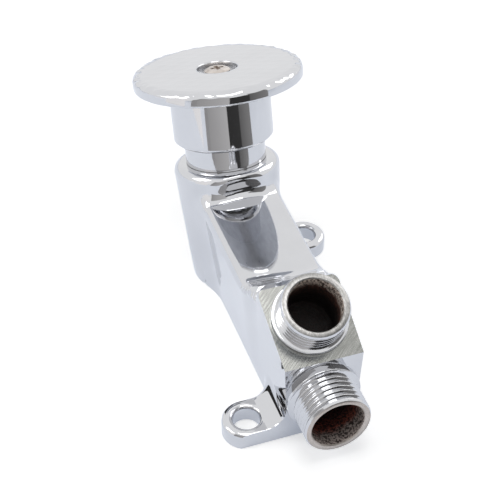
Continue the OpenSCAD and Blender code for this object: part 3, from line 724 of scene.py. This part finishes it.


# %% [markdown]
# The bores of the ports are left as they came out of the mould: rough, brown and grainy. A dark colour alone would
# look like a painted tube, so the colour runs by the depth below the mouth: pale crusty grains near the mouth,
# then the same grains darkened by painted shade, then rust, and deepest the dark brown skin painted nearly black
# as shade. A patchy noise makes these borders wander.

# %% The raw skin of the bores, with painted shade
SHADE_FADE, BORE_WANDER = 0.010, 0.8
PATCH_SCALE, PATCH_DEEP = 330, 0.0006
GRAIN_SCALE, GRAIN_DEEP = 1500, 0.0003
HALF_SHADE_AT, HALF_SHADE_SHARE, RUST_AT = 0.35, 0.6, 0.6
SPECK_LOW, SPECK_HIGH, SPECK_COLOUR = 0.42, 0.55, (0.06, 0.04, 0.035)
BORE_ROUGHS = (0.45, 0.85)


def make_bore_with_painted_shade(name, at_mouth, grain, rust, dark):
    """Cast skin inside a port: pale crusty grains near the mouth and rust further in, under painted shade that
    deepens with the depth below the mouth.
    """
    material, tree, shader, place = new_material(name)
    shader.inputs["Metallic"].default_value = 0.1
    patch = add_noise(tree, place, PATCH_SCALE, detail=4)
    fine = add_noise(tree, place, GRAIN_SCALE)
    away = add_vector_math(tree, "SUBTRACT", place, at_mouth.translation)
    depth = add_vector_math(tree, "DOT_PRODUCT", away["Vector"], -at_mouth.col[2].xyz)
    share = add_math(tree, "MULTIPLY", depth["Value"], 1 / SHADE_FADE)
    wander = add_math(tree, "ADD", share, add_math(tree, "MULTIPLY", patch, BORE_WANDER))
    level = add_math(tree, "SUBTRACT", wander, BORE_WANDER / 2)
    # Painted shade: the grains darken with the depth below the mouth, and deepest the dark brown skin is painted
    # nearly black as shade.
    half_shaded = [HALF_SHADE_SHARE * value for value in grain]
    base = add_ramp(tree, level, [(0.0, grain), (HALF_SHADE_AT, half_shaded), (RUST_AT, rust), (1.0, dark)])
    speck = add_ramp(tree, fine, [(SPECK_LOW, SPECK_COLOUR), (SPECK_HIGH, WHITE)])
    tree.links.new(add_product(tree, base, speck), shader.inputs["Base Color"])
    tree.links.new(add_range(tree, fine, *BORE_ROUGHS), shader.inputs["Roughness"])
    coarse = add_bump(tree, patch, 1.0, PATCH_DEEP)
    tree.links.new(add_bump(tree, fine, 1.0, GRAIN_DEEP, after=coarse), shader.inputs["Normal"])
    return material


# The last colour of each bore is painted shade deep inside it.
outlet_bore = make_bore_with_painted_shade("outlet_bore", AT_OUTLET,
                            (1.0, 0.86, 0.76), (0.12, 0.05, 0.035), (0.014, 0.007, 0.006))
inlet_bore = make_bore_with_painted_shade("inlet_bore", AT_INLET,
                           (0.66, 0.57, 0.53), (0.26, 0.065, 0.042), (0.06, 0.016, 0.012))
print("materials so far, with those of the frame:", len(bpy.data.materials))

# %% [markdown]
# Each spigot is joined to the casting and then bored. The exact boolean keeps both meshes as they are away
# from the cut, and its transfer of materials brings the finish of the tool along, so that a bore is raw,
# its broken edge is bright and the thread is chromed, with no faces to pick by hand afterwards.

# %% Join and bore the ports
BORE_SEGMENTS = 96
DRILL_POINT, DRILL_SPARE = 1, 2


def port_drill(depth):
    """The bore of a port, with a broken edge at its mouth."""
    edge_r = PORT_BORE_R + MOUTH_EDGE
    outline = [(0, -depth), (PORT_BORE_R - DRILL_POINT, -depth), (PORT_BORE_R, DRILL_POINT - depth),
               (PORT_BORE_R, -MOUTH_EDGE), (edge_r, 0), (edge_r, DRILL_SPARE), (0, DRILL_SPARE)]
    shell = spin_outline(outline, closed=False, segments=BORE_SEGMENTS)
    for face in shell.faces:
        if face.calc_center_median().z > -MOUTH_EDGE * MM:
            face.material_index = RIM
    bmesh.ops.recalc_face_normals(shell, faces=shell.faces)
    return shell


def carve(piece, shell, operation, materials):
    """Joins or cuts a piece with a shell, which brings its own finishes along."""
    shell_faces = len(shell.faces)
    tool = to_object(shell, "carving_tool")
    for material in materials:
        tool.data.materials.append(material)
    bake(piece, ("BOOLEAN", {"operation": operation, "object": tool, "solver": "EXACT",
                             "material_mode": "TRANSFER"}))
    bpy.data.objects.remove(tool)
    print(operation.lower(), "with", shell_faces, "faces, now", len(piece.data.polygons))


for place, length, depth, raw_bore, rim in ((AT_OUTLET, OUTLET_H, OUTLET_DEPTH, outlet_bore, outlet_rim),
                                            (AT_INLET, INLET_L, INLET_DEPTH, inlet_bore, inlet_rim)):
    spigot = port_shell(length)
    spigot.transform(place)
    carve(body_casting, spigot, "UNION", [chrome_thread, rim, chrome_turned])
    port_bore = port_drill(depth)
    port_bore.transform(place)
    carve(body_casting, port_bore, "DIFFERENCE", [raw_bore, rim])

# %% [markdown]
# The boss is bored from above for the whole valve works: the chamber at the bottom, the seat for the cage
# and the spigot of the bonnet. Three cylinders could be cut one by one, but one stepped outline, spun, is
# the boring tool. Afterwards edges are marked sharp by angle, except on the threads, whose crests are
# rounded.

# %% Bore the boss
CHAMBER_S, LEDGE_S, SPIGOT_S = 6.0, 17.0, 32.4
CHAMBER_R, CAGE_R, SPIGOT_BORE_R = 9.0, 11.05, 12.05
TOOL_SPARE = 4.0
boring = spin_outline([(0, CHAMBER_S), (CHAMBER_R, CHAMBER_S), (CHAMBER_R, LEDGE_S), (CAGE_R, LEDGE_S),
                       (CAGE_R, SPIGOT_S), (SPIGOT_BORE_R, SPIGOT_S), (SPIGOT_BORE_R, BOSS_H + TOOL_SPARE),
                       (0, BOSS_H + TOOL_SPARE)], closed=False, segments=BORE_SEGMENTS)
boring.transform(ON_PLUNGER)
bmesh.ops.recalc_face_normals(boring, faces=boring.faces)
carve(body_casting, boring, "DIFFERENCE", [outlet_rim])
casting_mesh = body_casting.data
casting_mesh.set_sharp_from_angle(angle=math.radians(CASTING_SMOOTH))
thread_slot = casting_mesh.materials.find(chrome_thread.name)
thread_edges = set()
for face in casting_mesh.polygons:
    if face.material_index == thread_slot:
        thread_edges.update(face.edge_keys)
for edge in casting_mesh.edges:
    if edge.key in thread_edges:
        edge.use_edge_sharp = False
print("thread edges kept soft:", len(thread_edges))

# %% [markdown]
# The bonnet closes the boss, guides the stem and holds the spring. Only its neck shows, a plain polished
# cylinder between the boss and the sleeve, and a cylinder would do for the picture, but it is turned whole,
# with its spigot, its pocket and its hub, so that it still looks right when the valve is opened. A thin lip
# at its foot covers the rim of the gasket, so that only a fine dark line shows there.

# %% The bonnet
NECK_R, NECK_S, NECK_TOP_S = 13.55, 41.2, 53.0
POCKET_R, POCKET_S, HUB_R, HUB_S = 11.0, 43.0, 7.6, 50.0
GLAND_R, GLAND_TOP_S, BUSH_R, BUSH_S, STEM_HOLE_R = 7.0, 38.0, 5.9, 39.2, 4.8
SPIGOT_R = 12.0
LIP_R, LIP_S = 13.3, 40.55
EDGE = 0.35
TURNED_SMOOTH = 30


def turned(name, outline, node, body, materials):
    """A turned piece on the plunger's axis that stands for one node of the frame."""
    shell = spin_outline(outline)
    shell.transform(ON_PLUNGER)
    piece = finish_piece(name, shell, body, materials, TURNED_SMOOTH)
    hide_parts(node)


turned("bonnet_neck",
       [(GLAND_R, SPIGOT_S), (SPIGOT_R, SPIGOT_S), (SPIGOT_R, NECK_S), (LIP_R, NECK_S), (LIP_R, LIP_S),
        (NECK_R, LIP_S), (NECK_R, NECK_TOP_S - EDGE), (NECK_R - EDGE, NECK_TOP_S), (POCKET_R, NECK_TOP_S),
        (POCKET_R, POCKET_S), (HUB_R, POCKET_S), (HUB_R, HUB_S), (BUSH_R, HUB_S), (BUSH_R, BUSH_S),
        (STEM_HOLE_R, BUSH_S), (STEM_HOLE_R, GLAND_TOP_S), (GLAND_R, GLAND_TOP_S)],
       "bonnet", "valve", [chrome_turned])

# %% [markdown]
# The push sleeve is the shiny cup that slides over the neck. It is a thin turned shell with a web on top, a
# groove inside for the slide ring and a chamfered skirt. A tube with a thickness could be made by solidify,
# but the groove and the chamfer are easier to see in one outline. The second ring just above the chamfer
# keeps the shading of the long side flat.

# %% The push sleeve
SLEEVE_R, SLEEVE_BORE_R, SLEEVE_S, PLATE_S = 16.75, 14.15, 48.2, 67.6
SLEEVE_CHAMFER, WEB, SCREW_HOLE_R = 0.8, 3.0, 3.45
GROOVE_R, GROOVE_S, GROOVE_TOP_S = 15.05, 49.55, 52.25
turned("push_sleeve_shell",
       [(SCREW_HOLE_R, PLATE_S - WEB), (SLEEVE_BORE_R, PLATE_S - WEB), (SLEEVE_BORE_R, GROOVE_TOP_S),
        (GROOVE_R, GROOVE_TOP_S), (GROOVE_R, GROOVE_S), (SLEEVE_BORE_R, GROOVE_S), (SLEEVE_BORE_R, SLEEVE_S),
        (SLEEVE_R - SLEEVE_CHAMFER, SLEEVE_S), (SLEEVE_R - EDGE / 2, SLEEVE_S + SLEEVE_CHAMFER - EDGE / 2),
        (SLEEVE_R, SLEEVE_S + SLEEVE_CHAMFER + EDGE / 2), (SLEEVE_R, SLEEVE_S + SLEEVE_CHAMFER + EDGE),
        (SLEEVE_R, PLATE_S), (SCREW_HOLE_R, PLATE_S)],
       "push_sleeve", "plunger", [chrome_turned])

# %% [markdown]
# The foot plate is a thick turned disc. Its top is knurled so that a wet shoe grips it: two crossing
# families of shallow grooves leave soft diamonds, which run out over the rim and make its edge wavy. A bump
# in the material could show the diamonds but not the wavy edge. So the disc is spun with many rings, and
# the rings' points are pressed down along the two families of lines, deeper at the rim.

# %% Outline of the foot plate
PLATE_R, PLATE_T, RIM_ROUND, RIM_LOW = 28.0, 4.6, 2.0, 0.8
RECESS_R, RECESS_DEPTH, RECESS_EDGE = 6.6, 2.6, 0.5
TOP_RINGS = 52
plate_top = PLATE_S + PLATE_T
rings_r = RECESS_R + RECESS_EDGE
rings_span = PLATE_R - RIM_ROUND - RECESS_R - RECESS_EDGE
plate_outline = [(SCREW_HOLE_R, PLATE_S), (PLATE_R - RIM_LOW - EDGE, PLATE_S), (PLATE_R - RIM_LOW, PLATE_S)]
plate_outline += arc(PLATE_R - RIM_LOW, PLATE_S + RIM_LOW, RIM_LOW, -90, 0, 6)[1:]
plate_outline += arc(PLATE_R - RIM_ROUND, plate_top - RIM_ROUND, RIM_ROUND, 0, 90, 8)[:-1]
plate_outline += [(rings_r + rings_span * ring / TOP_RINGS, plate_top) for ring in range(TOP_RINGS, -1, -1)]
plate_outline += arc(rings_r, plate_top - RECESS_EDGE, RECESS_EDGE, 90, 180, 4)[1:]
plate_outline += [(RECESS_R, plate_top - RECESS_DEPTH), (SCREW_HOLE_R, plate_top - RECESS_DEPTH)]
print("points of the plate's outline:", len(plate_outline))

# %% Press the knurl into the foot plate
KNURL_PITCH, KNURL_DEEP, KNURL_ANGLE = 4.2, 0.03, math.radians(32)
RIM_DEEP, RIM_START = 0.40, 1.5
PLATE_SEGMENTS = 288
PLATE_SMOOTH = 50
UNDERSIDE, POCKET = 1, 2


def knurl(x, y):
    """How deep the crossing grooves press in at a point, from 0 to 1."""
    deep = 0.0
    for turn in (KNURL_ANGLE, math.pi - KNURL_ANGLE):
        across = x * math.sin(turn) - y * math.cos(turn)
        deep = max(deep, 0.5 + 0.5 * math.cos(2 * math.pi * across / KNURL_PITCH))
    return deep


disc = spin_outline(plate_outline, segments=PLATE_SEGMENTS)
for vert in disc.verts:
    x, y, height = vert.co / MM
    reach = (height - (plate_top - RIM_ROUND)) / RIM_ROUND
    radius = math.hypot(x, y)
    if reach > 0 and radius > RECESS_R + RECESS_EDGE / 2:
        at_rim = min(max((radius - PLATE_R) / RIM_ROUND + RIM_START, 0), 1)
        deep = KNURL_DEEP + (RIM_DEEP - KNURL_DEEP) * at_rim
        vert.co.z -= deep * MM * min(reach, 1) * knurl(x, y)
for face in disc.faces:
    x, y, height = face.calc_center_median() / MM
    if height < PLATE_S + NEAR:
        face.material_index = UNDERSIDE
    elif math.hypot(x, y) < RECESS_R + NEAR:
        face.material_index = POCKET
disc.transform(ON_PLUNGER)
plate_piece = finish_piece("foot_plate_disc", disc, "plunger",
                           [chrome_turned, rough_underside_painted_shade, pocket_chrome], PLATE_SMOOTH)
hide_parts("foot_plate")

# %% [markdown]
# The spring is hidden in the bonnet's pocket at rest and only shows when the valve is taken apart, but it is a
# real coil: a round wire section spun about the axis with a rise, with a close-wound dead stretch at each end. A
# curve with a round bevel could draw it too, but spin gives the mesh at once, and its last section starts the next
# run. It shortens with the pedal.

# %% The return spring
WIRE_R, COIL_R, SPRING_S, SPRING_TOP_S = 0.9, 9.3, 43.9, 63.7
DEAD_TURNS, LIVE_TURNS, DEAD_SLACK = 0.75, 4.0, 1.02
TURN_STEPS, WIRE_SEGMENTS, WIRE_SMOOTH = 40, 14, 50


def wind(shell, section, turns, rise):
    """Spins the end section of a wire on about Z, rising all the way, and gives back its new end."""
    steps = round(turns * TURN_STEPS)
    made = bmesh.ops.spin(shell, geom=section, axis=(0, 0, 1), cent=(0, 0, 0), dvec=(0, 0, rise * MM / steps),
                          angle=2 * math.pi * turns, steps=steps)
    return made["geom_last"]


coil = bmesh.new()
wire_end = Matrix.Translation((COIL_R * MM, 0, (SPRING_S + WIRE_R) * MM))
wire_end @= Matrix.Rotation(math.pi / 2, 4, "X")
wire_ring = bmesh.ops.create_circle(coil, cap_ends=False, segments=WIRE_SEGMENTS, radius=WIRE_R * MM,
                                    matrix=wire_end)["verts"]
section = wire_ring + list({edge for vert in wire_ring for edge in vert.link_edges})
dead_rise = DEAD_TURNS * 2 * WIRE_R * DEAD_SLACK
live_rise = SPRING_TOP_S - SPRING_S - 2 * WIRE_R - 2 * dead_rise
for turns, rise in ((DEAD_TURNS, dead_rise), (LIVE_TURNS, live_rise), (DEAD_TURNS, dead_rise)):
    section = wind(coil, section, turns, rise)
bmesh.ops.holes_fill(coil, edges=coil.edges, sides=0)
coil.transform(ON_PLUNGER)
spring_piece = finish_piece("return_coil", coil, "valve", [spring_steel], WIRE_SMOOTH)
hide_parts("return_spring")
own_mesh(spring_piece)

# %% [markdown]
# The pieces that nobody sees until the valve is opened, and the small screw on the plate, keep the shape
# that they have in the frame. They could be turned again here, but nothing would be gained: each only gets
# its finish.

# %% Finishes of the inner pieces
INNER_FINISH = {
    brass: ["gland_washer", "valve_cage", "seat_ring", "stem", "washer_holder"],
    pale_brass: ["plate_screw"],
    rubber: ["stem_orings", "seat_oring", "valve_washer"],
    nylon: ["bonnet_gasket", "seal_spacer", "guide_bush", "slide_ring"],
    spring_steel: ["spring_washer", "spring_cap", "lock_washer", "disc_screw"],
}
for material, names in INNER_FINISH.items():
    for name in names:
        node = frame["nodes"][name]
        node.data.materials.clear()
        node.data.materials.append(material)
    print(material.name, "on", ", ".join(names))

# %% [markdown]
# The studio is a white table under a white sky, as for a catalogue picture. Stronger lamps could whiten
# both, but they would wash out the valve. So the sky is white only to the camera and to mirrors, and dimmer
# to the rays that only carry light. Chrome shows nothing but its surroundings, and this is most of what it
# shows.

# %% World
WORLD_LIGHT = 0.42
scene = bpy.context.scene
scene.view_settings.view_transform = "Standard"


def seen_by_eye_and_mirror(tree):
    """1 for camera, glossy and transmission rays, and 0 for the rays that only carry light."""
    path = tree.nodes.new("ShaderNodeLightPath")
    total = path.outputs["Is Camera Ray"]
    for name in ("Is Glossy Ray", "Is Transmission Ray"):
        total = add_math(tree, "MAXIMUM", total, path.outputs[name])
    return total


world = bpy.data.worlds.new("studio")
world.use_nodes = True
scene.world = world
sky = world.node_tree
backdrop = sky.nodes["Background"]
backdrop.inputs["Color"].default_value = (*WHITE, 1)
sky.links.new(add_range(sky, seen_by_eye_and_mirror(sky), WORLD_LIGHT, 1.0), backdrop.inputs["Strength"])
print("world light:", WORLD_LIGHT)

# %% [markdown]
# The table is a large sheet of paper that keeps the valve's shadow. It glows a little, again only to the
# camera and to mirrors. To the camera its glow rises with the distance until it is as white as the sky, so
# that no edge shows. Mirrors see it a little blue, which gives the chrome its cool cast.

# %% Table
TABLE_FRONT, TABLE_BACK, TABLE_SIDE = -1.4, 1.6, 1.4
TABLE_GLOW, MIRROR_GLOW, FAR_GLOW = 0.40, 0.25, 1.0
NEAR_END, FAR_END = 0.25, 0.9
MIRROR_BLUE = (0.80, 0.93, 1.18)
PAPER_SCALE, PAPER_LOW, PAPER_HIGH = 12, (0.86, 0.86, 0.86), (0.89, 0.89, 0.89)
table = bmesh.new()
bmesh.ops.create_grid(table, x_segments=1, y_segments=1, size=0.5)
for vert in table.verts:
    vert.co = (vert.co.x * 2 * TABLE_SIDE, TABLE_FRONT if vert.co.y < 0 else TABLE_BACK, 0)
table = to_object(table, "table")
paper, tree, shader, place = new_material("table_paper")
fibres = add_noise(tree, place, PAPER_SCALE)
shade = add_ramp(tree, fibres, [(NOISE_LOW, PAPER_LOW), (NOISE_HIGH, PAPER_HIGH)])
tree.links.new(shade, shader.inputs["Base Color"])
shader.inputs["Roughness"].default_value = 0.9
shader.inputs["Specular IOR Level"].default_value = 0.0
to_camera = tree.nodes.new("ShaderNodeLightPath").outputs["Is Camera Ray"]
hue = add_ramp(tree, to_camera, [(0.0, MIRROR_BLUE), (1.0, WHITE)])
tree.links.new(hue, shader.inputs["Emission Color"])
mirrored = add_math(tree, "MULTIPLY", seen_by_eye_and_mirror(tree), MIRROR_GLOW)
distance = add_vector_math(tree, "LENGTH", place)["Value"]
rise = add_range(tree, distance, TABLE_GLOW - MIRROR_GLOW, FAR_GLOW - MIRROR_GLOW, NEAR_END, FAR_END)
more = add_math(tree, "MULTIPLY", to_camera, rise)
tree.links.new(add_math(tree, "ADD", mirrored, more), shader.inputs["Emission Strength"])
table.data.materials.append(paper)
print("table, m:", 2 * TABLE_SIDE, "by", TABLE_BACK - TABLE_FRONT)

# %% [markdown]
# A photographer puts cards round a chromed piece, so that its bands of light and dark show its shape. Real
# cards would also shade the table, so these are screens that only mirrors see: a bright one on the left,
# and grey, black and dark ones in front, where the camera stands. The glow of each runs evenly from one
# side to the other. The black one is lower than the rest, so that some sky shows over it. A small card
# beside the front lug gives the dark stripe at the lug's root.

# %% Screens that the chrome mirrors
SCREEN_CENTRE = Vector((0, 0.052, 0.05))
SCREEN_AWAY = 0.24
SCREEN_FOOT, SCREEN_TOP, BLACK_TOP = 0.001, 0.20, 0.13
SCREEN_COLOUR = (1, 0.98, 0.97)
CARD_ROOT, CARD_AWAY, CARD_HEIGHTS = Vector((-13, FRONT_LUG[1], 0)) * MM, 0.016, (0.0050, 0.0085)


def screen(name, bearings, glows, heights=(SCREEN_FOOT, SCREEN_TOP), away=SCREEN_AWAY, centre=SCREEN_CENTRE):
    """A curved screen between two bearings in degrees, with a glow at each; 0 is in front of the ports."""
    start, end = (math.radians(bearing) for bearing in bearings)
    sheet = bmesh.new()
    bmesh.ops.create_grid(sheet, x_segments=12, y_segments=4, size=0.5)
    for vert in sheet.verts:
        bearing = start + (end - start) * (vert.co.x + 0.5)
        vert.co = (centre.x + away * math.sin(bearing), centre.y - away * math.cos(bearing),
                   heights[0] + (heights[1] - heights[0]) * (vert.co.y + 0.5))
    sheet = to_object(sheet, name)
    cloth, tree, shader, place = new_material(name + "_cloth")
    shader.inputs["Base Color"].default_value = (0, 0, 0, 1)
    shader.inputs["Specular IOR Level"].default_value = 0.0
    shader.inputs["Emission Color"].default_value = (*SCREEN_COLOUR, 1)
    across = tree.nodes.new("ShaderNodeSeparateXYZ")
    tree.links.new(place, across.inputs["Vector"])
    sides = [centre.x + away * math.sin(bearing) for bearing in (start, end)]
    tree.links.new(add_range(tree, across.outputs["X"], *glows, *sides), shader.inputs["Emission Strength"])
    sheet.data.materials.append(cloth)
    sheet.visible_camera = False
    sheet.visible_diffuse = False
    sheet.visible_shadow = False
    print(name, "bearings:", bearings, "glow:", glows)


screen("bright_screen", (-84, -58), (1.04, 1.08))
screen("thin_screen", (-50, -43), (0.36, 0.38))
screen("grey_screen", (-43, -4), (0.42, 0.58))
screen("black_screen", (-4, 21), (0.04, 0.05), heights=(SCREEN_FOOT, BLACK_TOP))
screen("dark_screen", (21, 46), (0.15, 0.28))
screen("lug_card", (-163, -113), (0.03, 0.03), heights=CARD_HEIGHTS, away=CARD_AWAY, centre=CARD_ROOT)

# %% [markdown]
# Three soft boxes stand left, right and overhead. They are weak, because the sky already lights the valve
# from all sides: they only add soft shadows and highlights.

# %% Lamps
def lamp(name, place, size, power):
    """A square soft box that points at the valve."""
    light = bpy.data.lights.new(name, "AREA")
    light.size = size
    light.energy = power
    soft_box = bpy.data.objects.new(name, light)
    soft_box.location = place
    soft_box.rotation_euler = (SCREEN_CENTRE - Vector(place)).to_track_quat("-Z", "Y").to_euler()
    scene.collection.objects.link(soft_box)
    print(name, "power:", power)


lamp("left_soft_box", (-0.75, 0.15, 0.65), 0.5, 2.4)
lamp("right_soft_box", (0.75, 0.35, 0.55), 0.5, 1.6)
lamp("top_soft_box", (0.0, -0.05, 1.0), 0.45, 2.0)
